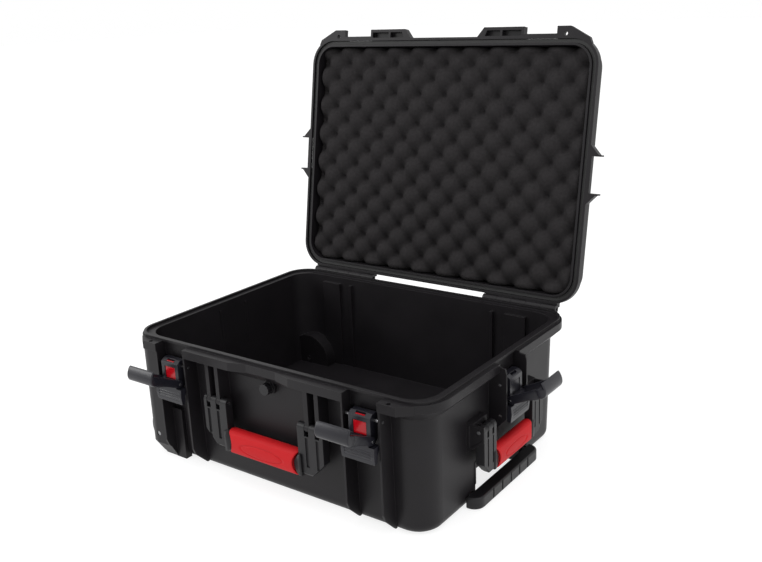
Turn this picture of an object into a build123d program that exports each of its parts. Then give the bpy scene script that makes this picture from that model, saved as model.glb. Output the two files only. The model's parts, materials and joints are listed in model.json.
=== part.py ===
from build123d import *
import os

os.makedirs("parts", exist_ok=True)

# Rolling hard equipment case, millimetres. +X is the trolley grip side, -Y is the front with the
# latches, +Z is up. The origin is the centre of the footprint, on the floor. The lid stands open.

# ---- driving dimensions: the shell -----------------------------------------------------------
FLANGE_X = 280.0  # half length of the rim flange
FLANGE_Y = 209.0  # half width of the rim flange
FLANGE_R = 53.0
FLANGE_T = 12.0
RIM_Z = 198.0  # the plane where base and lid meet
BEVEL = 14.0  # the 45 degree step from the flange to the wall
WALL_X = 264.0
WALL_Y = 193.0
WALL_R = 38.0
FOOT_X = 260.0  # the walls lean in towards the foot
FOOT_Y = 189.5
FOOT_ROUND = 14.0
SKIN = 3.5
FLOOR_Z = 28.0
TONGUE_H = 4.0
TONGUE_X = 270.5  # inner side of the sealing tongue
TONGUE_Y = 199.5
TONGUE_R = 36.0
TONGUE_W = 4.0

# ---- lid -------------------------------------------------------------------------------------
LID_H = 50.0
LID_OPEN = 99.56  # degrees from closed to the rest pose
HINGE_Y = 216.6
HINGE_IN = 115.0
HINGE_OUT = 248.0
KNUCKLE_R = 6.5
KNUCKLES = 5
HINGE_PIN_R = 2.5
LID_R = 45.0  # corner of the lid's flange
LID_WALL_X = 270.0
LID_WALL_Y = 199.0
LID_WALL_R = 36.0
LIP_X = 269.5  # outer side of the lip, inner side of the gasket's groove
LIP_Y = 198.5
LIP_R = 35.0
LIP_W = 3.5
GROOVE_W = 6.5

# ---- latches (u outward, v up, w along the pin; the origin is the lever's pin) -----------------
BAY = 28.5  # half width of a latch bay
RIB_T = 3.0
LATCH_X = 179.0
PIN_OUT = 16.5  # lever pin to wall
PIN_Z = 168.0
LEVER_W = 17.5
TAB_W = 27.0
CLAW_U = 11.0
CLAW_V = -25.0
CLAW_TILT = 27.0
CLAW_TILT_LEFT = 9.0
LEVER_PIN_R = 2.0
CLAW_PIN_R = 1.8
RUN = 0.05  # running clearance, radial

# ---- handles ---------------------------------------------------------------------------------
ARM_IN = 68.0
ARM_OUT = 113.0
PIVOT_R = 6.5
HANDLE_PIN_R = 2.5
FRONT_DROP = 71.0  # pivot to the bottom of the frame
SIDE_DROP = 68.0
SIDE_ARM_IN = 54.0
SIDE_ARM_OUT = 87.5
SIDE_CHEEK = (88.3, 92.0)
FRONT_SLOTS = ((81.0, 88.0), (100.0, 107.0))  # low and high end of each bracket plate
SIDE_SLOTS = ((61.0, 65.0), (75.0, 79.0))
CORE_R = 7.0

# ---- wheels and trolley ------------------------------------------------------------------------
WHEEL_X = -235.0
WHEEL_Z = 37.5
WHEEL_R = 37.5
WHEEL_Y = 179.5
WHEEL_W = 24.0
WELL_R = 41.5
WELL_W = 28.0
AXLE_R = 4.0
ROD_Y = 79.0
ROD_Z = 12.5
ROD_R = 4.5
TUBE_R = 6.3
GUIDE_R = 8.3
NOTCH_X = 215.0
NOTCH_Y = 66.0
NOTCH_Z = 58.0

OPEN = Pos(0, HINGE_Y, RIM_Z) * Rot(-LID_OPEN, 0, 0) * Pos(0, -HINGE_Y, -RIM_Z)


def opened(plane):
    """Carries a plane of the closed lid to where the open lid holds it."""
    return Plane(OPEN * plane.location)


def level(z):
    return Plane.XY.offset(z)


def lid_level(z):
    return opened(Plane.XY.offset(z))


def station(x, y, z, out):
    """A plane with local x pointing out of a wall, local y up and local z along the pin."""
    pin = Vector(*out).cross(Vector(0, 0, 1))
    return Plane(origin=(x, y, z), x_dir=out, z_dir=(pin.X, pin.Y, pin.Z))


# each latch's station, and how far its claw stands up from level
LATCHES = {
    "front_left": (station(-LATCH_X, -WALL_Y - PIN_OUT, PIN_Z, (0, -1, 0)), CLAW_TILT),
    "front_right": (station(LATCH_X, -WALL_Y - PIN_OUT, PIN_Z, (0, -1, 0)), CLAW_TILT),
    "side_left": (station(-WALL_X - PIN_OUT, 0, PIN_Z, (-1, 0, 0)), CLAW_TILT_LEFT),
    "side_right": (station(WALL_X + PIN_OUT, 0, PIN_Z, (1, 0, 0)), CLAW_TILT),
}
VALVE = Plane(origin=(4, -WALL_Y - 5, 166), x_dir=(1, 0, 0), z_dir=(0, -1, 0))
FRONT_HANDLE = station(0, -210, 129, (0, -1, 0))
SIDE_HANDLE = station(281.5, 0, 121, (1, 0, 0))


def finish_part(part, name):
    part.part.label = name
    export_step(part.part, "parts/" + name + ".step")


def knuckle_ends(start):
    """The (low, high) ends of every second knuckle of the right hinge, from the given one."""
    pitch = (HINGE_OUT - HINGE_IN) / KNUCKLES
    return [
        (HINGE_IN + i * pitch + 0.25, HINGE_IN + (i + 1) * pitch - 0.25)
        for i in range(start, KNUCKLES, 2)
    ]


# ---- base shell --------------------------------------------------------------------------------
WELL_SIDE = WHEEL_Y + WELL_W / 2  # the outer side of each wheel well
BOX_X = 262.0
BOX_R = 25.0
BOX_INSET = 12.0
BOX_FOOT_H = 22.0
POCKET_Y = 100.0
POCKET_X0 = -203.0
POCKET_X1 = 211.5
COVER_T = 3.0
SCREW_X = (-190.0, -60.0, 70.0, 200.0)
SCREW_Y = 94.0
PAD_Z = 185.0
PAD_Y = -216.5
LOCK_X = 222.5
LOCK_Y = -212.5
LOCK_R = 3.25

with BuildPart() as base_shell:
    # tub outside
    with BuildSketch(level(0)):
        RectangleRounded(2 * FOOT_X, 2 * FOOT_Y, WALL_R)
    with BuildSketch(level(RIM_Z)):
        RectangleRounded(2 * WALL_X, 2 * WALL_Y, WALL_R)
    loft()
    fillet(base_shell.faces().sort_by(Axis.Z)[0].edges(), FOOT_ROUND)
    # rim flange and the bevel below it
    with BuildSketch(level(RIM_Z - FLANGE_T)):
        RectangleRounded(2 * FLANGE_X, 2 * FLANGE_Y, FLANGE_R)
    extrude(amount=FLANGE_T)
    with BuildSketch(level(RIM_Z - FLANGE_T)):
        RectangleRounded(2 * FLANGE_X - 0.8, 2 * FLANGE_Y - 0.8, FLANGE_R - 0.4)
    extrude(amount=-BEVEL, taper=45)
    # front pads
    for side in (-1, 1):
        with BuildSketch(level(PAD_Z)):
            with BuildLine():
                Polyline(
                    (side * 28, -204),
                    (side * 28, -209),
                    (side * 57, PAD_Y),
                    (side * (LATCH_X - BAY), PAD_Y),
                    (side * (LATCH_X - BAY), -204),
                    close=True,
                )
            make_face()
            with BuildLine():
                Polyline(
                    (side * (LATCH_X + BAY), -200),
                    (side * (LATCH_X + BAY), PAD_Y - 1.5),
                    (side * 236, PAD_Y - 1.5),
                    (side * 254, -203),
                    (side * 250, -198),
                    close=True,
                )
            make_face()
        extrude(amount=RIM_Z - PAD_Z)
    # latch bay recesses in the flange
    for side in (-1, 1):
        with BuildSketch(level(PAD_Z - 20)):
            with Locations((side * LATCH_X, -230)):
                Rectangle(2 * BAY, 64)
            with Locations((side * 300, 0)):
                Rectangle(63, 2 * BAY)
        extrude(amount=RIM_Z - PAD_Z + 21, mode=Mode.SUBTRACT)
    # corner boxes that carry the wheels, narrower at the foot
    for side in (-1, 1):
        for z, inset in ((0, BOX_INSET), (BOX_FOOT_H, 0)):
            with BuildSketch(level(z)):
                RectangleRounded(2 * (BOX_X - inset), 2 * (FLANGE_Y - inset), BOX_R - inset / 2)
                with Locations((-235, side * 184)):
                    Rectangle(55, 52, mode=Mode.INTERSECT)
        loft()
        with BuildSketch(level(BOX_FOOT_H)):
            RectangleRounded(2 * BOX_X, 2 * FLANGE_Y, BOX_R)
            with Locations((-235, side * 184)):
                Rectangle(55, 52, mode=Mode.INTERSECT)
        extrude(amount=RIM_Z - FLANGE_T - BOX_FOOT_H)
        # the wall stays thick where the well runs on behind it
        with BuildSketch(level(0)):
            with Locations((-199.5, side * (WELL_SIDE - 2))):
                Rectangle(21, 12)
        extrude(amount=WHEEL_Z + WELL_R + 6)
    # inside of the tub
    with BuildSketch(level(FLOOR_Z)):
        RectangleRounded(2 * FOOT_X - 2 * SKIN, 2 * FOOT_Y - 2 * SKIN, WALL_R - SKIN)
    with BuildSketch(level(RIM_Z + 0.5)):
        RectangleRounded(2 * WALL_X - 2 * SKIN, 2 * WALL_Y - 2 * SKIN, WALL_R - SKIN)
    loft(mode=Mode.SUBTRACT)
    # sealing tongue round the opening
    with BuildSketch(level(RIM_Z)):
        RectangleRounded(
            2 * (TONGUE_X + TONGUE_W), 2 * (TONGUE_Y + TONGUE_W), TONGUE_R + TONGUE_W
        )
        RectangleRounded(2 * TONGUE_X, 2 * TONGUE_Y, TONGUE_R, mode=Mode.SUBTRACT)
    extrude(amount=TONGUE_H)
    # wheel arches inside the tub
    for side in (-1, 1):
        with BuildSketch(Plane.XZ.offset(-side * (WHEEL_Y - WELL_W / 2 - SKIN))):
            with Locations((WHEEL_X, WHEEL_Z)):
                Circle(WELL_R + SKIN)
            with Locations((-221, FLOOR_Z + 35)):
                Rectangle(80, 74, mode=Mode.INTERSECT)
        extrude(amount=-side * 30)
    # front latch ribs
    for x in (-LATCH_X - BAY, -LATCH_X + BAY, LATCH_X - BAY, LATCH_X + BAY):
        outward = RIB_T if abs(x) > LATCH_X else -RIB_T
        grow = outward if x > 0 else -outward
        with BuildSketch(Plane.YZ.offset(x)):
            with BuildLine():
                Polyline(
                    (-187, PAD_Z),
                    (PAD_Y, PAD_Z),
                    (PAD_Y, 36),
                    (-212, 25),
                    (-191, 4),
                    (-187, 4),
                    close=True,
                )
            make_face()
        extrude(amount=grow)
    # side latch ears
    for side in (-1, 1):
        for ear in (-1, 1):
            with BuildSketch(Plane.XZ.offset(-ear * BAY)):
                with BuildLine():
                    Polyline(
                        (side * 258, PAD_Z),
                        (side * 279, RIM_Z - 3),
                        (side * 289, RIM_Z - 5),
                        (side * 291, PAD_Z),
                        (side * 291, 118),
                        (side * 272, 98),
                        (side * 258, 98),
                        close=True,
                    )
                make_face()
            extrude(amount=-ear * RIB_T)
    # front handle brackets
    for side in (-1, 1):
        for low, high in FRONT_SLOTS:
            with BuildSketch(Plane.YZ.offset(side * low)):
                with BuildLine():
                    Polyline(
                        (-187, PAD_Z), (-214, PAD_Z), (-214, 139), (-187, 139), close=True
                    )
                make_face()
                with Locations((-210, 129)):
                    Circle(PIVOT_R - 0.3)
                with BuildLine():
                    Polyline(
                        (-187, 112),
                        (-187, 140),
                        (-213.9, 140),
                        (-214, 134),
                        (-210, 122.8),
                        close=True,
                    )
                make_face()
            extrude(amount=side * (high - low))
    # side handle brackets: a block on the wall, a cheek outside each arm, and the inner plates
    for side in (-1, 1):
        with BuildSketch(Plane.XZ.offset(-side * SIDE_ARM_IN)):
            with BuildLine():
                Polyline((258, 86), (264, 90), (273, 105), (273, 132), (258, 135), close=True)
            make_face()
        extrude(amount=-side * (SIDE_CHEEK[1] - SIDE_ARM_IN))
        with BuildSketch(Plane.XZ.offset(-side * SIDE_CHEEK[0])):
            with BuildLine():
                Polyline((258, 85), (264, 88), (290, 108), (290, 131), (258, 131), close=True)
            make_face()
        extrude(amount=-side * (SIDE_CHEEK[1] - SIDE_CHEEK[0]))
        with BuildSketch(Plane.XZ.offset(-side * SIDE_CHEEK[1])):
            with BuildLine():
                Polyline((267, 94), (287, 110), (287, 128), (267, 128), close=True)
            make_face()
        extrude(amount=side * 1.0, mode=Mode.SUBTRACT)
        for low, high in SIDE_SLOTS:
            with BuildSketch(Plane.XZ.offset(-side * low)):
                with BuildLine():
                    Polyline((258, 96), (276, 117), (276, 126), (258, 131), close=True)
                make_face()
                with Locations((281.5, 121)):
                    Circle(PIVOT_R - 0.3)
                with Locations((275, 121)):
                    Rectangle(13, 2 * PIVOT_R - 0.6)
            extrude(amount=-side * (high - low))
    # rear hinge knuckles
    for low, high in knuckle_ends(0):
        for side in (-1, 1):
            with BuildSketch(Plane.YZ.offset(side * low)):
                with Locations((HINGE_Y, RIM_Z)):
                    Circle(KNUCKLE_R)
                with BuildLine():
                    Polyline(
                        (206, RIM_Z - FLANGE_T),
                        (206, RIM_Z - 0.5),
                        (HINGE_Y, RIM_Z - 0.5),
                        (HINGE_Y + 4, RIM_Z - 5),
                        (209, RIM_Z - FLANGE_T),
                        close=True,
                    )
                make_face()
            extrude(amount=side * (high - low))
    # pilasters inside the rear wall, a broad one and a narrow one on each side
    for side in (-1, 1):
        with BuildSketch(level(FLOOR_Z - 1)):
            with Locations((side * 189, WALL_Y - SKIN - 2)):
                Rectangle(38, 7)
            with Locations((side * 146, WALL_Y - SKIN - 2)):
                Rectangle(5, 7)
        extrude(amount=RIM_Z - FLOOR_Z - 10)
    # bay for the trolley grip, walls first
    with BuildSketch(level(FLOOR_Z - 1)):
        with Locations(((NOTCH_X - SKIN + 262) / 2, 0)):
            Rectangle(262 - NOTCH_X + SKIN, 2 * NOTCH_Y + 2 * SKIN)
    extrude(amount=NOTCH_Z + SKIN - FLOOR_Z + 1)
    with BuildSketch(level(-1)):
        with Locations(((NOTCH_X + 300) / 2, 0)):
            Rectangle(300 - NOTCH_X, 2 * NOTCH_Y)
    extrude(amount=NOTCH_Z + 1, mode=Mode.SUBTRACT)
    # wheel wells, and the round lower corner that leaves the tyre proud
    for side in (-1, 1):
        with BuildSketch(Plane.XZ.offset(-side * (WHEEL_Y - WELL_W / 2))):
            with Locations((WHEEL_X, WHEEL_Z)):
                Circle(WELL_R)
        extrude(amount=-side * WELL_W, mode=Mode.SUBTRACT)
        with BuildSketch(Plane.XZ.offset(-side * (WHEEL_Y - WELL_W / 2 + 1))):
            with Locations((WHEEL_X - 25, WHEEL_Z - 25)):
                Rectangle(50, 50)
            with Locations((WHEEL_X, WHEEL_Z)):
                Circle(WHEEL_R - 4, mode=Mode.SUBTRACT)
        extrude(amount=-side * 60, mode=Mode.SUBTRACT)
        # hollow of the corner box above the well
        with BuildSketch(level(WHEEL_Z + 24)):
            with Locations((-230, side * 198.25)):
                Rectangle(32, 11.5)
        extrude(amount=117, mode=Mode.SUBTRACT)
        with Locations(Location((WHEEL_X, side * 180, WHEEL_Z), (90, 0, 0))):
            Cylinder(AXLE_R + RUN, 60, mode=Mode.SUBTRACT)
    # underside: trolley pocket with screw bosses, and cells that lighten the floor
    with BuildSketch(level(-1)):
        with Locations(((POCKET_X0 + POCKET_X1) / 2, 0)):
            Rectangle(POCKET_X1 - POCKET_X0, 2 * POCKET_Y)
        with GridLocations(85, 2 * 138, 5, 2):
            with Locations((27.5, 0)):
                Rectangle(80, 68)
    extrude(amount=FLOOR_Z - 2, mode=Mode.SUBTRACT)
    for x in SCREW_X:
        for side in (-1, 1):
            with BuildSketch(level(COVER_T)):
                with Locations((x, side * SCREW_Y)):
                    Circle(5.5)
                    Circle(2.0, mode=Mode.SUBTRACT)
            extrude(amount=FLOOR_Z - COVER_T - 1)
    # bores: guides, latch pins, handle pins, hinge pins, padlock holes, valve
    for side in (-1, 1):
        with Locations(Location((235, side * ROD_Y, ROD_Z), (0, 90, 0))):
            Cylinder(GUIDE_R + RUN, 60, mode=Mode.SUBTRACT)
        with Locations((side * LOCK_X, LOCK_Y, RIM_Z)):
            Cylinder(LOCK_R, 60, mode=Mode.SUBTRACT)
    for place, tilt in LATCHES.values():
        with BuildSketch(place):
            Circle(LEVER_PIN_R + RUN)
        extrude(amount=BAY + RIB_T + 1, both=True, mode=Mode.SUBTRACT)
    for place in (FRONT_HANDLE, SIDE_HANDLE):
        with BuildSketch(place):
            Circle(HANDLE_PIN_R + RUN)
        extrude(amount=ARM_OUT, both=True, mode=Mode.SUBTRACT)
    with BuildSketch(Plane.YZ):
        with Locations((HINGE_Y, RIM_Z)):
            Circle(HINGE_PIN_R + RUN)
    extrude(amount=HINGE_OUT + 1, both=True, mode=Mode.SUBTRACT)
    # boss and bore for the pressure valve
    with BuildSketch(VALVE):
        Circle(11.0)
    extrude(amount=-8)
    with BuildSketch(VALVE):
        Circle(5.0)
    extrude(amount=20, both=True, mode=Mode.SUBTRACT)
finish_part(base_shell, "base_shell")


# ---- lid shell: drawn closed, on planes that the open lid carries -------------------------------
LEDGE_Z = RIM_Z + 4.5
PAD_TOP = RIM_Z + FLANGE_T

with BuildPart() as lid_shell:
    with BuildSketch(lid_level(RIM_Z)):
        RectangleRounded(2 * FLANGE_X, 2 * FLANGE_Y, LID_R)
    extrude(amount=FLANGE_T)
    with BuildSketch(lid_level(PAD_TOP)):
        RectangleRounded(2 * FLANGE_X - 0.8, 2 * FLANGE_Y - 0.8, LID_R - 0.4)
    extrude(amount=BEVEL, taper=45)
    with BuildSketch(lid_level(RIM_Z)):
        RectangleRounded(2 * LID_WALL_X, 2 * LID_WALL_Y, LID_WALL_R)
    extrude(amount=LID_H)
    fillet(
        lid_shell.faces().sort_by(Axis(OPEN.position, lid_level(0).z_dir))[-1].edges(),
        12,
    )
    # raised panels over the top
    for x in (-120.0, 0.0, 120.0):
        with BuildSketch(lid_level(RIM_Z + LID_H - 1)):
            with Locations((x, 0)):
                RectangleRounded(76, 300, 12)
        extrude(amount=3)
    # front: trapezoid pads, latch ledges and padlock tabs
    for side in (-1, 1):
        with BuildSketch(lid_level(RIM_Z)):
            with BuildLine():
                Polyline(
                    (side * 62, -200),
                    (side * 66, -209),
                    (side * 78, -224),
                    (side * (LATCH_X - BAY), -224),
                    (side * (LATCH_X - BAY), -200),
                    close=True,
                )
            make_face()
        extrude(amount=FLANGE_T)
        with BuildSketch(lid_level(RIM_Z)):
            with BuildLine():
                Polyline(
                    (side * (LATCH_X - BAY - 1), -212.5),
                    (side * (LATCH_X + BAY), -212.5),
                    (side * (LATCH_X + BAY), -200),
                    (side * (LATCH_X - BAY - 1), -200),
                    close=True,
                )
            make_face()
        extrude(amount=LEDGE_Z - RIM_Z)
        with BuildSketch(lid_level(RIM_Z)):
            with BuildLine():
                Polyline(
                    (side * 266, -198),
                    (side * 262, -207),
                    (side * 230, -224),
                    (side * (LATCH_X + BAY), -224),
                    (side * (LATCH_X + BAY), -198),
                    close=True,
                )
            make_face()
        extrude(amount=8)
        # side gussets and the ledge between them
        for ear in (-1, 1):
            with BuildSketch(lid_level(RIM_Z)):
                with BuildLine():
                    Polyline(
                        (side * 272, ear * BAY),
                        (side * 298, ear * BAY),
                        (side * 298, ear * (BAY + 2.5)),
                        (side * 294, ear * (BAY + 2.5)),
                        (side * 279, ear * 47),
                        (side * 272, ear * 47),
                        close=True,
                    )
                make_face()
            extrude(amount=FLANGE_T)
        with BuildSketch(lid_level(RIM_Z)):
            with Locations((side * 277.5, 0)):
                Rectangle(11, 2 * BAY)
        extrude(amount=LEDGE_Z - RIM_Z)
        # claw seats above the ledges
        with BuildSketch(lid_level(LEDGE_Z)):
            with Locations((side * LATCH_X, -221)):
                Rectangle(2 * BAY - 0.2, 40)
            with Locations((side * 288, 0)):
                Rectangle(32, 2 * BAY - 0.2)
        extrude(amount=10, mode=Mode.SUBTRACT)
    # hollow pads
    for side in (-1, 1):
        with BuildSketch(lid_level(RIM_Z)):
            with BuildLine():
                Polyline(
                    (side * 80, -210),
                    (side * 84, -219),
                    (side * 108, -219),
                    (side * 108, -210),
                    close=True,
                )
            make_face()
            with BuildLine():
                Polyline(
                    (side * 112, -210),
                    (side * 112, -219),
                    (side * 146, -219),
                    (side * 146, -210),
                    close=True,
                )
            make_face()
        extrude(amount=8, mode=Mode.SUBTRACT)
    # rear hinge knuckles
    for low, high in knuckle_ends(1):
        for side in (-1, 1):
            with BuildSketch(opened(Plane.YZ.offset(side * low))):
                with Locations((HINGE_Y, RIM_Z)):
                    Circle(KNUCKLE_R)
                with BuildLine():
                    Polyline(
                        (206, RIM_Z + FLANGE_T),
                        (206, RIM_Z + 0.5),
                        (HINGE_Y, RIM_Z + 0.5),
                        (HINGE_Y + 4, RIM_Z + 5),
                        (209, RIM_Z + FLANGE_T),
                        close=True,
                    )
                make_face()
            extrude(amount=side * (high - low))
    # hollows of the lid's rear edge, close round the base's knuckles
    for low, high in knuckle_ends(0):
        for side in (-1, 1):
            with BuildSketch(opened(Plane.YZ.offset(side * low))):
                with Locations((HINGE_Y - 7, RIM_Z + 5.5)):
                    Rectangle(9, 11)
                with Locations((HINGE_Y, RIM_Z)):
                    Circle(KNUCKLE_R + 0.4, mode=Mode.SUBTRACT)
            extrude(amount=side * (high - low))
    with BuildSketch(opened(Plane.YZ)):
        with Locations((HINGE_Y, RIM_Z)):
            Circle(HINGE_PIN_R + RUN)
    extrude(amount=HINGE_OUT + 1, both=True, mode=Mode.SUBTRACT)
    # inside: foam hollow, gasket groove, and the lip between them
    with BuildSketch(lid_level(RIM_Z)):
        RectangleRounded(2 * (LIP_X - LIP_W), 2 * (LIP_Y - LIP_W), LIP_R - LIP_W)
    extrude(amount=LID_H - 4, mode=Mode.SUBTRACT)
    with BuildSketch(lid_level(RIM_Z)):
        RectangleRounded(2 * (LIP_X + GROOVE_W), 2 * (LIP_Y + GROOVE_W), LIP_R + GROOVE_W)
        RectangleRounded(2 * LIP_X, 2 * LIP_Y, LIP_R, mode=Mode.SUBTRACT)
    extrude(amount=7.5, mode=Mode.SUBTRACT)
    for side in (-1, 1):
        with BuildSketch(lid_level(RIM_Z - 1)):
            with Locations((side * LOCK_X, LOCK_Y)):
                Circle(LOCK_R)
        extrude(amount=20, mode=Mode.SUBTRACT)
finish_part(lid_shell, "lid_shell")

with BuildPart() as lid_gasket:
    with BuildSketch(lid_level(RIM_Z + 7.5)):
        RectangleRounded(
            2 * (LIP_X + GROOVE_W - 0.3), 2 * (LIP_Y + GROOVE_W - 0.3), LIP_R + GROOVE_W - 0.3
        )
        RectangleRounded(2 * (LIP_X + 0.3), 2 * (LIP_Y + 0.3), LIP_R + 0.3, mode=Mode.SUBTRACT)
    extrude(amount=-3.2)
finish_part(lid_gasket, "lid_gasket")

FOAM_GAP = 0.8
with BuildPart() as lid_foam:
    with BuildSketch(lid_level(RIM_Z + 3)):
        RectangleRounded(
            2 * (LIP_X - LIP_W - FOAM_GAP), 2 * (LIP_Y - LIP_W - FOAM_GAP), LIP_R - LIP_W
        )
    extrude(amount=LID_H - 4 - 3)
finish_part(lid_foam, "lid_foam")

for name, side in (("hinge_pin_left", -1), ("hinge_pin_right", 1)):
    with BuildPart() as hinge_pin:
        with BuildSketch(Plane.YZ.offset(side * (HINGE_IN + 3))):
            with Locations((HINGE_Y, RIM_Z)):
                Circle(HINGE_PIN_R)
        extrude(amount=side * (HINGE_OUT - HINGE_IN - 6))
    finish_part(hinge_pin, name)

# ---- latches -------------------------------------------------------------------------------------
BOX_V = -30.0
WINDOW = 11.0
BUTTON_U0 = 4.6
BUTTON_U1 = 7.0
ARM_W0 = 18.0
ARM_W1 = 22.0
HOOK_W = 27.0
HOOK_S0 = 47.0
HOOK_S1 = 63.5
BAR_T0 = -9.0
BAR_T1 = 6.0
LIP_S = 60.0
LIP_T = 12.5


def claw_plane(place, tilt):
    """The claw's own plane: local x along its arm from the pin, y across it, z along the pin."""
    return Plane(place.location * Location((CLAW_U, CLAW_V, 0), (0, 0, tilt)))


def make_lever(place):
    with BuildPart() as lever:
        with BuildSketch(place):
            with BuildLine():
                Polyline(
                    (-6, 9.5),
                    (3, 9.5),
                    (9, 5),
                    (9, -20),
                    (14, -21),
                    (15.5, -25),
                    (15.5, BOX_V - 2),
                    (2, BOX_V - 4),
                    (-6, BOX_V + 2),
                    close=True,
                )
            make_face()
        extrude(amount=LEVER_W, both=True)
        with BuildSketch(place):
            with BuildLine():
                Polyline(
                    (15.5, -32),
                    (16.5, -44),
                    (15.0, -56),
                    (10.0, -56),
                    (8.5, -44),
                    (2, -34),
                    (2, -32),
                    close=True,
                )
            make_face()
        extrude(amount=TAB_W, both=True)
        fillet(
            lever.edges()
            .group_by(Axis.Z)[0]
            .filter_by(Axis(place.origin, place.z_dir), reverse=True),
            1.5,
        )
        # cavity for the button, its window and the slit in the top
        with BuildSketch(place):
            with BuildLine():
                Polyline(
                    (BUTTON_U0 - 2.2, -22),
                    (BUTTON_U1 + 0.1, -22),
                    (BUTTON_U1 + 0.1, 4),
                    (BUTTON_U0 - 2.2, 4),
                    close=True,
                )
            make_face()
        extrude(amount=WINDOW + 0.9, both=True, mode=Mode.SUBTRACT)
        with BuildSketch(place):
            with Locations((10, -11)):
                Rectangle(8, 20)
        extrude(amount=WINDOW, both=True, mode=Mode.SUBTRACT)
        with BuildSketch(place):
            with Locations((4.75, 6)):
                Rectangle(4.7, 12)
        extrude(amount=8, both=True, mode=Mode.SUBTRACT)
        with BuildSketch(place):
            Circle(LEVER_PIN_R + RUN)
            with Locations((CLAW_U, CLAW_V)):
                Circle(CLAW_PIN_R)
        extrude(amount=TAB_W + 5, both=True, mode=Mode.SUBTRACT)
        # finger grooves across the tab
        for v in (-38, -42, -46, -50):
            with BuildSketch(place):
                with Locations((17, v)):
                    Circle(1.6)
            extrude(amount=TAB_W - 5, both=True, mode=Mode.SUBTRACT)
    return lever


def make_claw(place, tilt):
    arm = claw_plane(place, tilt)
    face = Plane(origin=arm.origin, x_dir=arm.x_dir, z_dir=arm.y_dir)
    with BuildPart() as claw:
        for side in (-1, 1):
            with BuildSketch(arm.offset(side * ARM_W0)):
                Circle(5.8)
                with BuildLine():
                    Polyline(
                        (0, -5.8),
                        (HOOK_S0 + 3, -6.5),
                        (HOOK_S0 + 3, 5.5),
                        (12, 5.8),
                        (0, 5.8),
                        close=True,
                    )
                make_face()
            extrude(amount=side * (ARM_W1 - ARM_W0))
        # the bar, and the lip that hooks over the ledge of the lid
        with BuildSketch(arm):
            with Locations(((HOOK_S0 + HOOK_S1) / 2, (BAR_T0 + BAR_T1) / 2)):
                RectangleRounded(HOOK_S1 - HOOK_S0, BAR_T1 - BAR_T0, 5.5)
            with Locations(((LIP_S + HOOK_S1) / 2, LIP_T / 2)):
                Rectangle(HOOK_S1 - LIP_S, LIP_T)
        extrude(amount=HOOK_W, both=True)
        # rounded ends
        with BuildSketch(face):
            with Locations(((HOOK_S0 + HOOK_S1) / 2, 0)):
                Rectangle(HOOK_S1 - HOOK_S0, 2 * HOOK_W)
                RectangleRounded(HOOK_S1 - HOOK_S0, 2 * HOOK_W, 4.8, mode=Mode.SUBTRACT)
        extrude(amount=20, both=True, mode=Mode.SUBTRACT)
        with BuildSketch(arm):
            Circle(CLAW_PIN_R + RUN)
        extrude(amount=ARM_W1 + 1, both=True, mode=Mode.SUBTRACT)
    return claw


def make_button(place):
    with BuildPart() as button:
        with BuildSketch(place):
            with Locations(((BUTTON_U0 + BUTTON_U1) / 2, -9.2)):
                Rectangle(BUTTON_U1 - BUTTON_U0, 25)
        extrude(amount=WINDOW + 0.5, both=True)
        with BuildSketch(place):
            with Locations(((BUTTON_U0 + BUTTON_U1) / 2, 4)):
                Rectangle(BUTTON_U1 - BUTTON_U0, 6)
        extrude(amount=7.6, both=True)
        with BuildSketch(place):
            with Locations((BUTTON_U1 + 0.5, -11)):
                Rectangle(1.4, 18)
        extrude(amount=WINDOW - 0.7, both=True)
    return button


def make_pin(place, u, v, radius, half_length):
    with BuildPart() as pin:
        with BuildSketch(place):
            with Locations((u, v)):
                Circle(radius)
        extrude(amount=half_length, both=True)
    return pin


for name, (place, tilt) in LATCHES.items():
    finish_part(make_lever(place), "latch_lever_" + name)
    finish_part(make_claw(place, tilt), "latch_claw_" + name)
    finish_part(make_button(place), "latch_button_" + name)
    finish_part(make_pin(place, 0, 0, LEVER_PIN_R, BAY + RIB_T), "lever_pin_" + name)
    finish_part(make_pin(place, CLAW_U, CLAW_V, CLAW_PIN_R, ARM_W1 + 0.6), "claw_pin_" + name)

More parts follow.
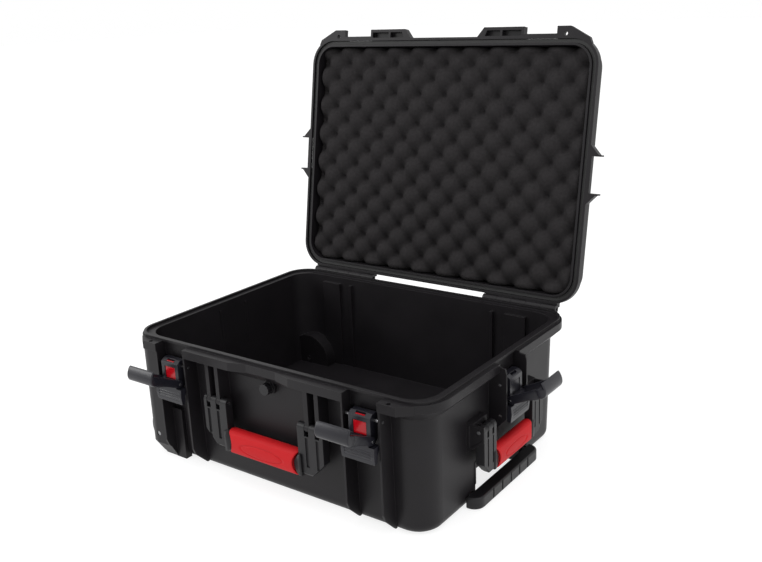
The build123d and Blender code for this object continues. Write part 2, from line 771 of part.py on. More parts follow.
# ---- carry handles: local u outward, v up from the pivot, w along the pin -------------------------
def make_handle(place, arm_in, arm_out, drop, chamfer, slots):
    face_on = Plane(origin=place.origin, x_dir=place.z_dir, z_dir=place.z_dir.cross(place.y_dir))
    with BuildPart() as frame:
        for side in (-1, 1):
            with BuildSketch(place.offset(side * arm_in)):
                with BuildLine():
                    Polyline(
                        (-PIVOT_R, 0),
                        (-PIVOT_R, -drop + 3),
                        (-PIVOT_R + 3, -drop),
                        (PIVOT_R - 3, -drop),
                        (PIVOT_R, -drop + 3),
                        (PIVOT_R, 0),
                        close=True,
                    )
                make_face()
                Circle(PIVOT_R)
            extrude(amount=side * (arm_out - arm_in))
            # chamfer of the outer lower corner
            with BuildSketch(face_on):
                with BuildLine():
                    Polyline(
                        (side * (arm_out + 1), -drop + chamfer),
                        (side * (arm_out + 1), -drop - 1),
                        (side * (arm_out - chamfer), -drop - 1),
                        (side * arm_out, -drop + chamfer),
                        close=True,
                    )
                make_face()
            extrude(amount=30, both=True, mode=Mode.SUBTRACT)
            # slots that straddle the bracket plates
            for low, high in slots:
                with BuildSketch(place.offset(side * (low - 0.5))):
                    with Locations((0, 8)):
                        Rectangle(40, 38)
                extrude(amount=side * (high - low + 1), mode=Mode.SUBTRACT)
                # the groove that carries each slot on down the arm
                with BuildSketch(place.offset(side * (low + 0.5))):
                    with Locations((PIVOT_R, -drop / 2)):
                        Rectangle(4, drop - 26)
                extrude(amount=side * (high - low - 1), mode=Mode.SUBTRACT)
        with BuildSketch(place):
            with Locations((0, -drop + 14)):
                Circle(CORE_R - 1)
        extrude(amount=arm_in + 1, both=True)
        with BuildSketch(place):
            Circle(HANDLE_PIN_R + RUN)
        extrude(amount=arm_out + 1, both=True, mode=Mode.SUBTRACT)
    return frame


def make_grip(place, half, drop, depth, height):
    with BuildPart() as grip:
        with BuildSketch(place):
            with Locations((0, -drop + 14)):
                RectangleRounded(depth, height, depth / 2 - 2)
        extrude(amount=half, both=True)
        with BuildSketch(place):
            with Locations((0, -drop + 14)):
                Circle(CORE_R - 1 + RUN)
        extrude(amount=half + 1, both=True, mode=Mode.SUBTRACT)
    return grip


handles = (
    ("front_handle", FRONT_HANDLE, ARM_IN, ARM_OUT, FRONT_DROP, 24, FRONT_SLOTS, (24, 38), ARM_OUT - 1),
    (
        "side_handle",
        SIDE_HANDLE,
        SIDE_ARM_IN,
        SIDE_ARM_OUT,
        SIDE_DROP,
        18,
        SIDE_SLOTS,
        (19, 33),
        SIDE_CHEEK[1],
    ),
)
for name, place, arm_in, arm_out, drop, chamfer, slots, grip_size, pin_out in handles:
    finish_part(make_handle(place, arm_in, arm_out, drop, chamfer, slots), name + "_frame")
    finish_part(make_grip(place, arm_in - 0.5, drop, *grip_size), name + "_grip")
    with BuildPart() as handle_pins:
        for side in (-1, 1):
            with BuildSketch(place.offset(side * (arm_in + 1))):
                Circle(HANDLE_PIN_R)
            extrude(amount=side * (pin_out - arm_in - 1))
    finish_part(handle_pins, name + "_pins")

# ---- pressure valve ------------------------------------------------------------------------------
with BuildPart() as valve_body:
    with BuildSketch(VALVE):
        RegularPolygon(9.6, 6)
    extrude(amount=2)
    with BuildSketch(VALVE):
        Circle(4.9)
    extrude(amount=-12)
    with BuildSketch(VALVE):
        Circle(3.0)
    extrude(amount=20, both=True, mode=Mode.SUBTRACT)
finish_part(valve_body, "valve_body")

with BuildPart() as valve_knob:
    with BuildSketch(VALVE.offset(2.4)):
        Circle(8.6)
        with PolarLocations(9.0, 12):
            Circle(1.2, mode=Mode.SUBTRACT)
    extrude(amount=8.5)
    with BuildSketch(VALVE.offset(2.4)):
        Circle(2.95)
    extrude(amount=-14)
finish_part(valve_knob, "valve_knob")

# ---- wheels --------------------------------------------------------------------------------------
WHEEL_Y_OUT = 208.0
for name, side in (("front", -1), ("rear", 1)):
    hub_plane = Plane(origin=(WHEEL_X, side * WHEEL_Y, WHEEL_Z), x_dir=(1, 0, 0), z_dir=(0, side, 0))
    with BuildPart() as wheel_hub:
        with BuildSketch(hub_plane):
            Circle(27)
            with PolarLocations(17.5, 6):
                Circle(5, mode=Mode.SUBTRACT)
            Circle(AXLE_R + RUN, mode=Mode.SUBTRACT)
        extrude(amount=WHEEL_W / 2 - 2, both=True)
    finish_part(wheel_hub, "wheel_hub_" + name)
    with BuildPart() as wheel_tyre:
        with BuildSketch(hub_plane):
            Circle(WHEEL_R)
            Circle(27.0, mode=Mode.SUBTRACT)
        extrude(amount=WHEEL_W / 2, both=True)
        rims = wheel_tyre.edges().filter_by(GeomType.CIRCLE).sort_by(SortBy.RADIUS)[-2:]
        fillet(rims, 4)
    finish_part(wheel_tyre, "wheel_tyre_" + name)
    with BuildPart() as wheel_axle:
        with BuildSketch(hub_plane.offset(WHEEL_Y_OUT - WHEEL_Y)):
            Circle(AXLE_R)
        extrude(amount=WHEEL_Y - WHEEL_Y_OUT - WHEEL_W / 2 - 5)
    finish_part(wheel_axle, "wheel_axle_" + name)

# ---- trolley -------------------------------------------------------------------------------------
GRIP_X0 = 262.0
GRIP_X1 = 282.0
TROLLEY_GRIP_Y = 94.0
with BuildPart() as trolley_grip:
    with BuildSketch(level(1.2)):
        with Locations(((GRIP_X0 + GRIP_X1) / 2, 0)):
            Rectangle(GRIP_X1 - GRIP_X0, 2 * TROLLEY_GRIP_Y)
    extrude(amount=18.5)
    corner_edges = trolley_grip.edges().filter_by(Axis.Z).group_by(Axis.X)[-1]
    fillet(corner_edges, 17)
    fillet(trolley_grip.edges().filter_by(Axis.Y), 3)
    for y in (-52, -26, 0, 26, 52):
        with BuildSketch(Plane.XZ.offset(-y)):
            with Locations((GRIP_X1 + 0.8, 9.7)):
                Rectangle(4, 20)
        extrude(amount=2.0, both=True, mode=Mode.SUBTRACT)
    for side in (-1, 1):
        with Locations(Location((GRIP_X0 + 5, side * ROD_Y, ROD_Z), (0, 90, 0))):
            Cylinder(ROD_R, 14, mode=Mode.SUBTRACT)
    with BuildSketch(Plane.YZ.offset(GRIP_X0)):
        with Locations((0, 9.7)):
            Rectangle(30.6, 9.6)
    extrude(amount=7, mode=Mode.SUBTRACT)
finish_part(trolley_grip, "trolley_grip")

with BuildPart() as trolley_button:
    with BuildSketch(Plane.YZ.offset(GRIP_X0 - 2.5)):
        with Locations((0, 9.7)):
            RectangleRounded(30, 9, 3)
    extrude(amount=6)
finish_part(trolley_button, "trolley_button")

ROD_X0 = -190.0
TUBE_X0 = -186.0
GUIDE_X0 = -199.0
GUIDE_X1 = 259.0


def make_tubes(x0, x1, outer, inner):
    with BuildPart() as tubes:
        for side in (-1, 1):
            with BuildSketch(Plane.YZ.offset(x0)):
                with Locations((side * ROD_Y, ROD_Z)):
                    Circle(outer)
                    if inner:
                        Circle(inner, mode=Mode.SUBTRACT)
            extrude(amount=x1 - x0)
    return tubes


finish_part(make_tubes(ROD_X0, GRIP_X0 + 12, ROD_R, 0), "trolley_rods")
finish_part(make_tubes(TUBE_X0, GRIP_X0 - 1.5, TUBE_R, ROD_R + RUN), "trolley_mid_tubes")
finish_part(make_tubes(GUIDE_X0, GUIDE_X1, GUIDE_R, TUBE_R + RUN), "trolley_guides")

with BuildPart() as trolley_cover:
    with BuildSketch(level(0)):
        with Locations(((POCKET_X0 + POCKET_X1) / 2, 0)):
            Rectangle(POCKET_X1 - POCKET_X0 - 0.8, 2 * POCKET_Y - 0.8)
    extrude(amount=COVER_T)
    for x in SCREW_X:
        for side in (-1, 1):
            with Locations((x, side * SCREW_Y, 0)):
                Cylinder(2.1, 20, mode=Mode.SUBTRACT)
            with BuildSketch(level(-0.01)):
                with Locations((x, side * SCREW_Y)):
                    Circle(3.9)
            extrude(amount=1.8, mode=Mode.SUBTRACT)
finish_part(trolley_cover, "trolley_cover")

with BuildPart() as cover_screws:
    for x in SCREW_X:
        for side in (-1, 1):
            with BuildSketch(level(0.3)):
                with Locations((x, side * SCREW_Y)):
                    Circle(3.6)
            extrude(amount=1.45)
            with BuildSketch(level(1.0)):
                with Locations((x, side * SCREW_Y)):
                    Circle(1.9)
            extrude(amount=14)
            with BuildSketch(level(0)):
                with Locations((x, side * SCREW_Y)):
                    Rectangle(4.6, 0.9)
                    Rectangle(0.9, 4.6)
            extrude(amount=1.1, mode=Mode.SUBTRACT)
finish_part(cover_screws, "cover_screws")
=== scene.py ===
"""Looks for the rolling equipment case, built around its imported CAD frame. Metres, +Z up."""

import json
import math

import bmesh
import bpy
from mathutils import Matrix, Vector


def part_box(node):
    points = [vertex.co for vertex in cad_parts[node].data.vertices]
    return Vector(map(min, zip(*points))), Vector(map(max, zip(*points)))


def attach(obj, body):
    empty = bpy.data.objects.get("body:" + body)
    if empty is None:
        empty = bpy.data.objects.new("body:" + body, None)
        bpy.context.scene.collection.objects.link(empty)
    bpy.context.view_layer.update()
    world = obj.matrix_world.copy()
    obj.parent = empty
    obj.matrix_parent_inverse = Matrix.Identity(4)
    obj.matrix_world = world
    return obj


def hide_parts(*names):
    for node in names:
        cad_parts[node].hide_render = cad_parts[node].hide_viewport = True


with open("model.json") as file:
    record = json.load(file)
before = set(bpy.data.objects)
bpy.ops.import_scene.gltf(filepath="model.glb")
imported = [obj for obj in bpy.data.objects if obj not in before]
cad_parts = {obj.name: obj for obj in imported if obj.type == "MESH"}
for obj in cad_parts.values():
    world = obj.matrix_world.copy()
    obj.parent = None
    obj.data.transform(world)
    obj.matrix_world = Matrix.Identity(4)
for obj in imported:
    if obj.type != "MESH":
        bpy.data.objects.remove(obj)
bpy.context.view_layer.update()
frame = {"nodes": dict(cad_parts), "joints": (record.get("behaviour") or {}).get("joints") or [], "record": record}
nodes = frame["nodes"]

joints = {j["name"]: j for j in frame["joints"]}
HINGE = Vector(joints["lid_hinge"]["pos_m"])
LID_OPEN = math.radians(99.56)


# ---- camera, floor and light -------------------------------------------------------------------
def make_camera():
    az, el, roll = math.radians(36.463), math.radians(17.0425), math.radians(-2.437)
    back = Vector(
        (math.sin(az) * math.cos(el), -math.cos(az) * math.cos(el), math.sin(el))
    )
    right = Vector((math.cos(az), math.sin(az), 0))
    up = back.cross(right)
    right_rolled = right * math.cos(roll) + up * math.sin(roll)
    up_rolled = up * math.cos(roll) - right * math.sin(roll)
    data = bpy.data.cameras.new("camera")
    data.lens = 43.06
    data.sensor_width = 36
    data.clip_start = 0.05
    data.clip_end = 50
    camera = bpy.data.objects.new("camera", data)
    turn = Matrix((right_rolled, up_rolled, back)).transposed()
    camera.matrix_world = Matrix.Translation((0.8412, -1.0545, 0.6795)) @ turn.to_4x4()
    bpy.context.scene.collection.objects.link(camera)
    bpy.context.scene.camera = camera


def area_light(name, place, aim, size, power):
    data = bpy.data.lights.new(name, "AREA")
    data.shape = "RECTANGLE"
    data.size, data.size_y = size
    data.energy = power
    light = bpy.data.objects.new(name, data)
    light.location = place
    direction = Vector(aim) - Vector(place)
    light.rotation_euler = direction.to_track_quat("-Z", "Y").to_euler()
    bpy.context.scene.collection.objects.link(light)


def make_studio():
    world = bpy.data.worlds.new("studio")
    bpy.context.scene.world = world
    world.use_nodes = True
    background = world.node_tree.nodes["Background"]
    background.inputs["Color"].default_value = (1, 1, 1, 1)
    background.inputs["Strength"].default_value = 1.0
    area_light("top_light", (0.1, -0.3, 2.4), (0, 0, 0.2), (2.4, 2.0), 24)
    area_light("front_light", (-2.3, -1.7, 1.4), (0, 0, 0.2), (1.4, 1.2), 30)
    area_light("right_light", (2.6, -0.6, 1.2), (0, 0, 0.2), (1.4, 1.4), 9)
    bpy.ops.mesh.primitive_plane_add(size=40, location=(0, 0, 0))
    floor = bpy.context.object
    floor.name = "floor"
    floor.data.materials.append(floor_material())
    bpy.context.scene.view_settings.view_transform = "Standard"


def floor_material():
    material = bpy.data.materials.new("floor")
    material.use_nodes = True
    shader = material.node_tree.nodes["Principled BSDF"]
    shader.inputs["Base Color"].default_value = (0.3, 0.3, 0.3, 1)
    shader.inputs["Emission Color"].default_value = (1, 1, 1, 1)
    shader.inputs["Emission Strength"].default_value = 0.78
    shader.inputs["Roughness"].default_value = 0.9
    shader.inputs["Specular IOR Level"].default_value = 0.1
    return material


# ---- materials ---------------------------------------------------------------------------------
def moulded(
    name,
    colour,
    variation=0.15,
    roughness=(0.45, 0.6),
    grain=2200,
    grain_depth=0.00005,
    round_edge=0.0008,
    edge_wear_and_highlight=0.5,
    specular=0.5,
    metallic=0.0,
    coat=0.0,
):
    """A plastic, rubber or metal: a faint mottle, fine grain, rounded edges and a lighter rim that is part wear
    and part painted highlight.
    """
    material = bpy.data.materials.new(name)
    material.use_nodes = True
    tree = material.node_tree
    add, link = tree.nodes.new, tree.links.new
    shader = tree.nodes["Principled BSDF"]
    shader.inputs["Specular IOR Level"].default_value = specular
    shader.inputs["Metallic"].default_value = metallic
    shader.inputs["Coat Weight"].default_value = coat
    shader.inputs["Coat Roughness"].default_value = 0.15
    place = add("ShaderNodeTexCoord")

    def noise(scale, detail):
        texture = add("ShaderNodeTexNoise")
        texture.inputs["Scale"].default_value = scale
        texture.inputs["Detail"].default_value = detail
        link(place.outputs["Object"], texture.inputs["Vector"])
        return texture

    mottle, fine = noise(18, 5), noise(grain, 2)
    colours = add("ShaderNodeValToRGB")
    colours.color_ramp.elements[0].position = 0.3
    colours.color_ramp.elements[1].position = 0.75
    for element, factor in zip(
        colours.color_ramp.elements, (1 - variation, 1 + variation)
    ):
        element.color = tuple(min(c * factor, 1) for c in colour) + (1,)
    link(mottle.outputs["Fac"], colours.inputs["Fac"])
    bevel = add("ShaderNodeBevel")
    bevel.samples = 4
    bevel.inputs["Radius"].default_value = round_edge
    geometry = add("ShaderNodeNewGeometry")
    dot = add("ShaderNodeVectorMath")
    dot.operation = "DOT_PRODUCT"
    link(bevel.outputs["Normal"], dot.inputs[0])
    link(geometry.outputs["Normal"], dot.inputs[1])
    # Edge mask from the bevel normal: the rims get a lighter colour, part real wear and part painted highlight.
    edge = add("ShaderNodeMapRange")
    edge.inputs["From Min"].default_value = 0.995
    edge.inputs["From Max"].default_value = 0.8
    edge.inputs["To Max"].default_value = edge_wear_and_highlight
    link(dot.outputs["Value"], edge.inputs["Value"])
    mix = add("ShaderNodeMix")
    mix.data_type = "RGBA"
    link(edge.outputs["Result"], mix.inputs["Factor"])
    link(colours.outputs["Color"], mix.inputs["A"])
    # The lighter rim colour: part wear, part painted edge highlight.
    mix.inputs["B"].default_value = tuple(min(c * 1.6 + 0.015, 1) for c in colour) + (1,)
    link(mix.outputs["Result"], shader.inputs["Base Color"])
    spread = add("ShaderNodeMapRange")
    spread.inputs["To Min"].default_value = roughness[0]
    spread.inputs["To Max"].default_value = roughness[1]
    link(mottle.outputs["Fac"], spread.inputs["Value"])
    link(spread.outputs["Result"], shader.inputs["Roughness"])
    bump = add("ShaderNodeBump")
    bump.inputs["Strength"].default_value = 1.0
    bump.inputs["Distance"].default_value = grain_depth
    link(fine.outputs["Fac"], bump.inputs["Height"])
    link(bevel.outputs["Normal"], bump.inputs["Normal"])
    link(bump.outputs["Normal"], shader.inputs["Normal"])
    return material


def foam_material():
    """Open-cell foam: dark, dull, pitted at two scales."""
    material = bpy.data.materials.new("foam")
    material.use_nodes = True
    tree = material.node_tree
    add, link = tree.nodes.new, tree.links.new
    shader = tree.nodes["Principled BSDF"]
    shader.inputs["Roughness"].default_value = 0.95
    shader.inputs["Specular IOR Level"].default_value = 0.05
    place = add("ShaderNodeTexCoord")
    cells = add("ShaderNodeTexVoronoi")
    cells.inputs["Scale"].default_value = 900
    link(place.outputs["Object"], cells.inputs["Vector"])
    cloud = add("ShaderNodeTexNoise")
    cloud.inputs["Scale"].default_value = 260
    cloud.inputs["Detail"].default_value = 6
    link(place.outputs["Object"], cloud.inputs["Vector"])
    ramp = add("ShaderNodeValToRGB")
    ramp.color_ramp.elements[0].color = (0.013, 0.012, 0.0125, 1)
    ramp.color_ramp.elements[1].color = (0.03, 0.028, 0.029, 1)
    link(cloud.outputs["Fac"], ramp.inputs["Fac"])
    link(ramp.outputs["Color"], shader.inputs["Base Color"])
    height = add("ShaderNodeMath")
    height.operation = "ADD"
    link(cells.outputs["Distance"], height.inputs[0])
    link(cloud.outputs["Fac"], height.inputs[1])
    bump = add("ShaderNodeBump")
    bump.inputs["Strength"].default_value = 0.7
    bump.inputs["Distance"].default_value = 0.0006
    link(height.outputs["Value"], bump.inputs["Height"])
    link(bump.outputs["Normal"], shader.inputs["Normal"])
    return material


MATERIALS = {
    "shell_plastic": moulded(
        "shell_plastic", (0.0078, 0.0068, 0.008), roughness=(0.38, 0.5), specular=0.21
    ),
    "hardware_plastic": moulded(
        "hardware_plastic", (0.0078, 0.0073, 0.0085), roughness=(0.33, 0.45), round_edge=0.0012,
        specular=0.28,
    ),
    "latch_plastic": moulded(
        "latch_plastic", (0.0095, 0.0092, 0.013), roughness=(0.24, 0.34), round_edge=0.0012,
        specular=0.32,
    ),
    "red_grip": moulded(
        "red_grip", (0.42, 0.008, 0.011), variation=0.06, roughness=(0.5, 0.62), edge_wear_and_highlight=0.0,
        grain=1500, specular=0.14,
    ),
    "red_button": moulded(
        "red_button", (0.36, 0.001, 0.006), variation=0.05, roughness=(0.15, 0.22), edge_wear_and_highlight=0.0,
        grain_depth=0.00001, specular=0.25, coat=0.15,
    ),
    "seal_rubber": moulded("seal_rubber", (0.02, 0.02, 0.02), roughness=(0.6, 0.75), edge_wear_and_highlight=0.1),
    "tyre_rubber": moulded("tyre_rubber", (0.018, 0.018, 0.018), roughness=(0.65, 0.8), edge_wear_and_highlight=0.3),
    "pin_steel": moulded(
        "pin_steel", (0.3, 0.3, 0.31), variation=0.08, roughness=(0.2, 0.35), metallic=1.0,
        round_edge=0.0003,
    ),
    "tube_alloy": moulded(
        "tube_alloy", (0.07, 0.07, 0.075), variation=0.06, roughness=(0.28, 0.4), metallic=1.0,
        round_edge=0.0003,
    ),
    "foam": foam_material(),
}


def paint_cad():
    for part in frame["record"]["subparts"]:
        piece = nodes[part["node"]]
        piece.data.materials.clear()
        piece.data.materials.append(MATERIALS[part["material_slot"]])


# ---- mesh helpers --------------------------------------------------------------------------------
def new_piece(name, mesh, body, slot_name, *replaced):
    piece = bpy.data.objects.new(name, mesh)
    bpy.context.scene.collection.objects.link(piece)
    mesh.materials.append(MATERIALS[slot_name])
    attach(piece, body)
    if replaced:
        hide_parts(*replaced)
    return piece


def mesh_of(name, points, faces):
    mesh = bpy.data.meshes.new(name)
    mesh.from_pydata([tuple(p) for p in points], [], faces)
    mesh.validate()
    build = bmesh.new()
    build.from_mesh(mesh)
    bmesh.ops.recalc_face_normals(build, faces=build.faces)
    build.to_mesh(mesh)
    build.free()
    for polygon in mesh.polygons:
        polygon.use_smooth = True
    return mesh


def skin_rings(faces, first, rings, around):
    """Joins rings of points, each a closed loop, into a skin, and closes its two ends."""
    for i in range(rings - 1):
        for k in range(around):
            a = first + i * around + k
            b = first + i * around + (k + 1) % around
            faces.append((a, b, b + around, a + around))
    for start in (first, first + (rings - 1) * around):
        faces.append(list(range(start, start + around)))


def open_lid_point(point):
    """A point of the closed lid, carried to the open one."""
    turn = Matrix.Rotation(-LID_OPEN, 3, "X")
    return HINGE + turn @ (Vector(point) - HINGE)


# ---- convoluted foam in the lid ------------------------------------------------------------------
RIM_Z = 0.198
FOAM_X, FOAM_Y = 0.2650, 0.1940
FOAM_ROUND = 0.030
FOAM_BACK = 0.043  # depth of the foam's back, inside the lid
EDGE_FALL, EDGE_WIDTH = 0.005, 0.007  # how the foam drops away at its border
DOME_SHARPNESS = 14
DOME_LOW = 0.48  # height of the pits on the unscaled domes
PEAK_Z = 0.004
PEAK_PITCH_X, PEAK_PITCH_Y = 0.0516, 0.0515
PEAK_PHASE_X, PEAK_PHASE_Y = 0.0, 0.0130
PEAK_HEIGHT = 0.024


def foam_height(x, y):
    """How far the surface stands proud of the deepest pits, from 0 to 1: round domes that meet."""
    across = 2 * (x - PEAK_PHASE_X) / PEAK_PITCH_X
    along = 2 * (y - PEAK_PHASE_Y) / PEAK_PITCH_Y
    total = 0.0
    for i in range(math.floor(across) - 1, math.floor(across) + 3):
        for j in range(math.floor(along) - 1, math.floor(along) + 3):
            if (i + j) % 2 == 0:
                reach = ((across - i) ** 2 + (along - j) ** 2) / 1.3
                total += math.exp(DOME_SHARPNESS * (math.sqrt(max(0.0, 1 - reach)) - 1))
    dome = 1 + math.log(total) / DOME_SHARPNESS
    return (dome - DOME_LOW) / (1 - DOME_LOW)


def round_corner(x, y):
    """Carries a point of the full rectangle into one with round corners."""
    a = abs(x) - (FOAM_X - FOAM_ROUND)
    b = abs(y) - (FOAM_Y - FOAM_ROUND)
    if a <= 0 or b <= 0:
        return x, y
    u = a * math.sqrt(1 - b * b / (2 * FOAM_ROUND**2))
    v = b * math.sqrt(1 - a * a / (2 * FOAM_ROUND**2))
    return (
        math.copysign(FOAM_X - FOAM_ROUND + u, x),
        math.copysign(FOAM_Y - FOAM_ROUND + v, y),
    )


def make_foam():
    columns, rows = 190, 138
    points, faces = [], []
    for layer in (0, 1):
        for j in range(rows + 1):
            for i in range(columns + 1):
                x, y = round_corner(
                    FOAM_X * (2 * i / columns - 1), FOAM_Y * (2 * j / rows - 1)
                )
                edge = min(FOAM_X - abs(x), FOAM_Y - abs(y))
                fall = max(0.0, 1 - edge / EDGE_WIDTH) ** 2 * EDGE_FALL
                z = RIM_Z + FOAM_BACK
                if layer == 0:
                    z = RIM_Z + PEAK_Z + PEAK_HEIGHT * (1 - foam_height(x, y)) + fall
                points.append(open_lid_point((x, y, z)))
    stride = columns + 1
    back = stride * (rows + 1)
    for j in range(rows):
        for i in range(columns):
            a = j * stride + i
            faces.append((a, a + 1, a + 1 + stride, a + stride))
            faces.append((back + a, back + a + stride, back + a + 1 + stride, back + a + 1))
    border = list(range(columns))
    border += [columns + j * stride for j in range(rows)]
    border += [rows * stride + i for i in range(columns, 0, -1)]
    border += [j * stride for j in range(rows, 0, -1)]
    for a, b in zip(border, border[1:] + border[:1]):
        faces.append((a, back + a, back + b, b))
    piece = new_piece("lid_foam_convoluted", mesh_of("foam", points, faces), "lid", "foam", "lid_foam")


# ---- red grips -----------------------------------------------------------------------------------
GRIP_END_GAP = 0.0006
GRIP_END_ROUND, GRIP_END_WIDTH = 0.0022, 0.003
OVAL_DEPTH, OVAL_LINE = 0.0012, 0.00055
OVAL_LENGTH, OVAL_HEIGHT, OVAL_DROP = 0.6, 0.47, 0.12  # parts of the grip's half sizes
BOSS_ROUND = 0.002
BOSS_ROOT = 0.004  # how far the boss runs back into the arm


def scoop(v, tall, depth):
    """How far the round boss of the arm bites into the grip's end, at height v from its middle."""
    return depth * max(0.0, 1 - (v / tall) ** 2)


def make_grip(name, node, body, along, out, bite):
    """A soft moulded sleeve with scooped ends and an engraved oval on its outer face."""
    low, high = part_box(node)
    centre = (low + high) / 2
    size = high - low
    axis = Vector(along)
    outward = Vector(out)
    half = abs(size.dot(axis)) / 2 - GRIP_END_GAP
    depth = abs(size.dot(outward)) / 2
    tall = size.z / 2
    rings, around, cap_rings = 240, 200, 8
    corner = min(depth, tall) * 0.92
    points, faces = [], []

    def profile(k):
        """The cross-section: a rounded rectangle, walked round at an even pace."""
        angle = 2 * math.pi * k / around
        a, b = math.cos(angle), math.sin(angle)
        u = math.copysign(min(abs(a) * 2.4, 1) * (depth - corner), a) + corner * a
        v = math.copysign(min(abs(b) * 1.6, 1) * (tall - corner), b) + corner * b
        return u, v

    def put(w, u, v):
        points.append(centre + axis * w + outward * u + Vector((0, 0, v)))

    outline = [profile(k) for k in range(around)]
    for step in range(cap_rings, 0, -1):
        for u, v in outline:
            u, v = u * (1 - step / (cap_rings + 1)), v * (1 - step / (cap_rings + 1))
            put(-half + scoop(v, tall, bite), u, v)
    for i in range(rings + 1):
        t = -1 + 2 * i / rings
        gap = (1 - abs(t)) * half
        nearness = 1 - min(gap / GRIP_END_WIDTH, 1)
        shrink = GRIP_END_ROUND * (1 - math.sqrt(max(0.0, 1 - nearness**2)))
        for u, v in outline:
            w = t * half - math.copysign(scoop(v, tall, bite) * t**6, t)
            if u > 0.3 * depth:
                oval = math.hypot(
                    w / (OVAL_LENGTH * half), (v + OVAL_DROP * tall) / (OVAL_HEIGHT * tall)
                )
                off_line = (oval - 1) * OVAL_HEIGHT * tall / OVAL_LINE
                u -= OVAL_DEPTH * math.exp(-(off_line**2))
            put(w, u * (1 - shrink / depth), v * (1 - shrink / tall))
    for step in range(1, cap_rings + 1):
        for u, v in outline:
            u, v = u * (1 - step / (cap_rings + 1)), v * (1 - step / (cap_rings + 1))
            put(half - scoop(v, tall, bite), u, v)
    skin_rings(faces, 0, rings + 1 + 2 * cap_rings, around)
    new_piece(name, mesh_of(name, points, faces), body, "red_grip", node)


def make_boss(name, node, body, along, out, side, bite):
    """The round shoulder of a handle's arm that fills the scooped end of the grip."""
    low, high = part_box(node)
    centre = (low + high) / 2
    size = high - low
    axis = Vector(along)
    outward = Vector(out)
    half = abs(size.dot(axis)) / 2
    depth = abs(size.dot(outward)) / 2 - 0.0022
    tall = size.z / 2 - 0.0012
    steps, layers = 48, 8
    outline = [(half + BOSS_ROOT, tall)]
    for i in range(steps + 1):
        v = tall * (1 - 2 * i / steps)
        outline.append((half - scoop(v, tall, bite - GRIP_END_GAP), v))
    outline.append((half + BOSS_ROOT, -tall))
    points, faces = [], []
    for layer in range(layers + 1):
        angle = math.pi * (layer / layers - 0.5)
        u = (depth - BOSS_ROUND) * (2 * layer / layers - 1) + BOSS_ROUND * math.sin(angle)
        inset = BOSS_ROUND * (1 - math.cos(angle))
        for w, v in outline:
            up = Vector((0, 0, v * (1 - inset / tall)))
            points.append(centre + axis * side * (w + inset) + outward * u + up)
    skin_rings(faces, 0, layers + 1, len(outline))
    new_piece(name, mesh_of(name, points, faces), body, "hardware_plastic")


def make_handle_looks(label, along, out, bite):
    node = label + "_grip"
    make_grip(label + "_sleeve", node, label, along, out, bite)
    for word, side in (("low", -1), ("high", 1)):
        make_boss(label + "_boss_" + word, node, label, along, out, side, bite)


# ---- latch claws ---------------------------------------------------------------------------------
CLAW_PIN_OUT = 0.0275  # wall to the claw's pin
CLAW_PIN_Z = 0.143
BAR_HALF = 0.0268
ARM_LOW, ARM_HIGH = 0.0181, 0.0219
LATCH_X, WALL_X, WALL_Y = 0.179, 0.264, 0.193
TILT, TILT_LEFT = 27, 9  # degrees above level
# corners of the hook bar and of the yoke's arms: along the arm from the pin, and across it
HOOK = (
    (0.0472, -0.0030),
    (0.0482, -0.0072),
    (0.0520, -0.0088),
    (0.0568, -0.0082),
    (0.0604, -0.0052),
    (0.0626, -0.0005),
    (0.0633, 0.0050),
    (0.0631, 0.0098),
    (0.0622, 0.0122),
    (0.0611, 0.0121),
    (0.0607, 0.0090),
    (0.0600, 0.0058),
    (0.0560, 0.0055),
    (0.0510, 0.0055),
    (0.0478, 0.0040),
)
YOKE = (
    (-0.0056, 0.0),
    (-0.0040, -0.0040),
    (0.0, -0.0058),
    (0.0250, -0.0066),
    (0.0480, -0.0085),
    (0.0500, 0.0),
    (0.0480, 0.0052),
    (0.0200, 0.0056),
    (0.0, 0.0058),
    (-0.0040, 0.0040),
)


def smooth_loop(corners, steps=6):
    """A closed curve through the corners, as points."""
    count = len(corners)
    curve = []
    for i in range(count):
        p0, p1, p2, p3 = (corners[(i + k) % count] for k in (-1, 0, 1, 2))
        for k in range(steps):
            t = k / steps
            curve.append(
                tuple(
                    0.5
                    * (
                        2 * b
                        + (c - a) * t
                        + (2 * a - 5 * b + 4 * c - d) * t * t
                        + (3 * b - 3 * c + d - a) * t**3
                    )
                    for a, b, c, d in zip(p0, p1, p2, p3)
                )
            )
    return curve


def prism(outline, w0, w1, rounding, points, faces):
    """Adds a closed body: the outline run from w0 to w1, its two ends rounded over."""
    middle = [sum(p[k] for p in outline) / len(outline) for k in (0, 1)]
    reach = max(math.dist(p, middle) for p in outline)
    angles = [math.pi / 2 * k / 5 for k in range(6)]
    levels = [(w0 + rounding * (1 - math.cos(a)), rounding * (1 - math.sin(a))) for a in angles]
    levels += [(w1 - (w - w0), inset) for w, inset in reversed(levels)]
    first = len(points)
    for w, inset in levels:
        scale = 1 - inset / reach
        for p in outline:
            points.append(tuple(m + (c - m) * scale for c, m in zip(p, middle)) + (w,))
    skin_rings(faces, first, len(levels), len(outline))


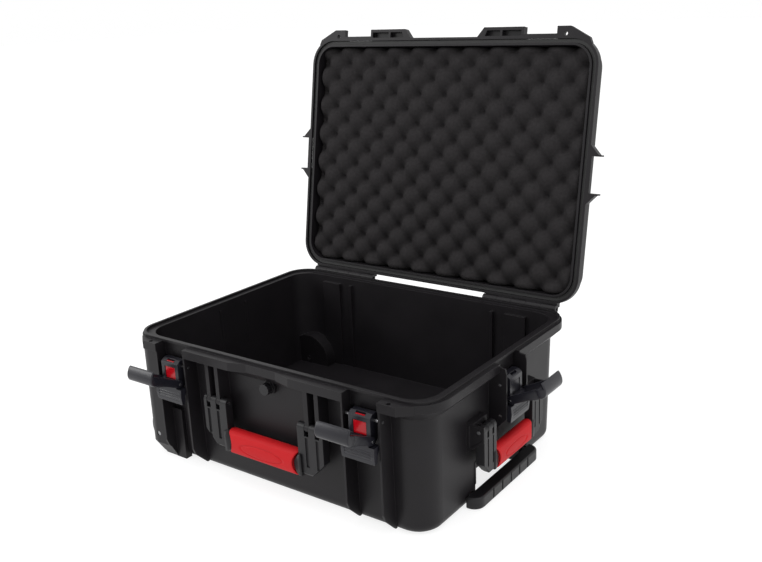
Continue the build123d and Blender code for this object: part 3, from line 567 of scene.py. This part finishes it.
def make_claw(name, along, out, wall, tilt):
    """A yoke with a rounded hook bar, standing out from its pin at the given angle above level."""
    axis, outward = Vector(along), Vector(out)
    flat, faces = [], []
    prism(smooth_loop(HOOK), -BAR_HALF, BAR_HALF, 0.0022, flat, faces)
    for side in (-1, 1):
        low, high = sorted((side * ARM_LOW, side * ARM_HIGH))
        prism(smooth_loop(YOKE), low, high, 0.0008, flat, faces)
    turn = math.radians(tilt)
    along_arm = outward * math.cos(turn) + Vector((0, 0, 1)) * math.sin(turn)
    across = Vector((0, 0, 1)) * math.cos(turn) - outward * math.sin(turn)
    pin = Vector(wall) + outward * CLAW_PIN_OUT + Vector((0, 0, CLAW_PIN_Z))
    points = [pin + along_arm * s + across * t + axis * w for s, t, w in flat]
    node = "latch_claw_" + name
    new_piece("claw_" + name, mesh_of(node, points, faces), "claw_" + name, "latch_plastic", node)


def make_rim_web(name, side):
    """The moulded web that closes the slot under the sealing tongue over a side latch."""
    outline = [(0.2676, 0.1962), (0.2716, 0.1962), (0.2718, 0.1978), (0.2674, 0.1978)]
    points, faces = [], []
    prism(smooth_loop(outline, 3), -0.0292, 0.0292, 0.0004, points, faces)
    placed = [Vector((side * u, w, v)) for u, v, w in points]
    new_piece(name, mesh_of(name, placed, faces), "base", "shell_plastic")


make_camera()
make_studio()
paint_cad()
make_foam()
make_handle_looks("front_handle", (1, 0, 0), (0, -1, 0), 0.0085)
make_handle_looks("side_handle", (0, 1, 0), (1, 0, 0), 0.006)
make_claw("front_left", (1, 0, 0), (0, -1, 0), (-LATCH_X, -WALL_Y, 0), TILT)
make_claw("front_right", (1, 0, 0), (0, -1, 0), (LATCH_X, -WALL_Y, 0), TILT)
make_claw("side_left", (0, 1, 0), (-1, 0, 0), (-WALL_X, 0, 0), TILT_LEFT)
make_claw("side_right", (0, 1, 0), (1, 0, 0), (WALL_X, 0, 0), TILT)
make_rim_web("rim_web_left", -1)
make_rim_web("rim_web_right", 1)

bpy.context.view_layer.update()
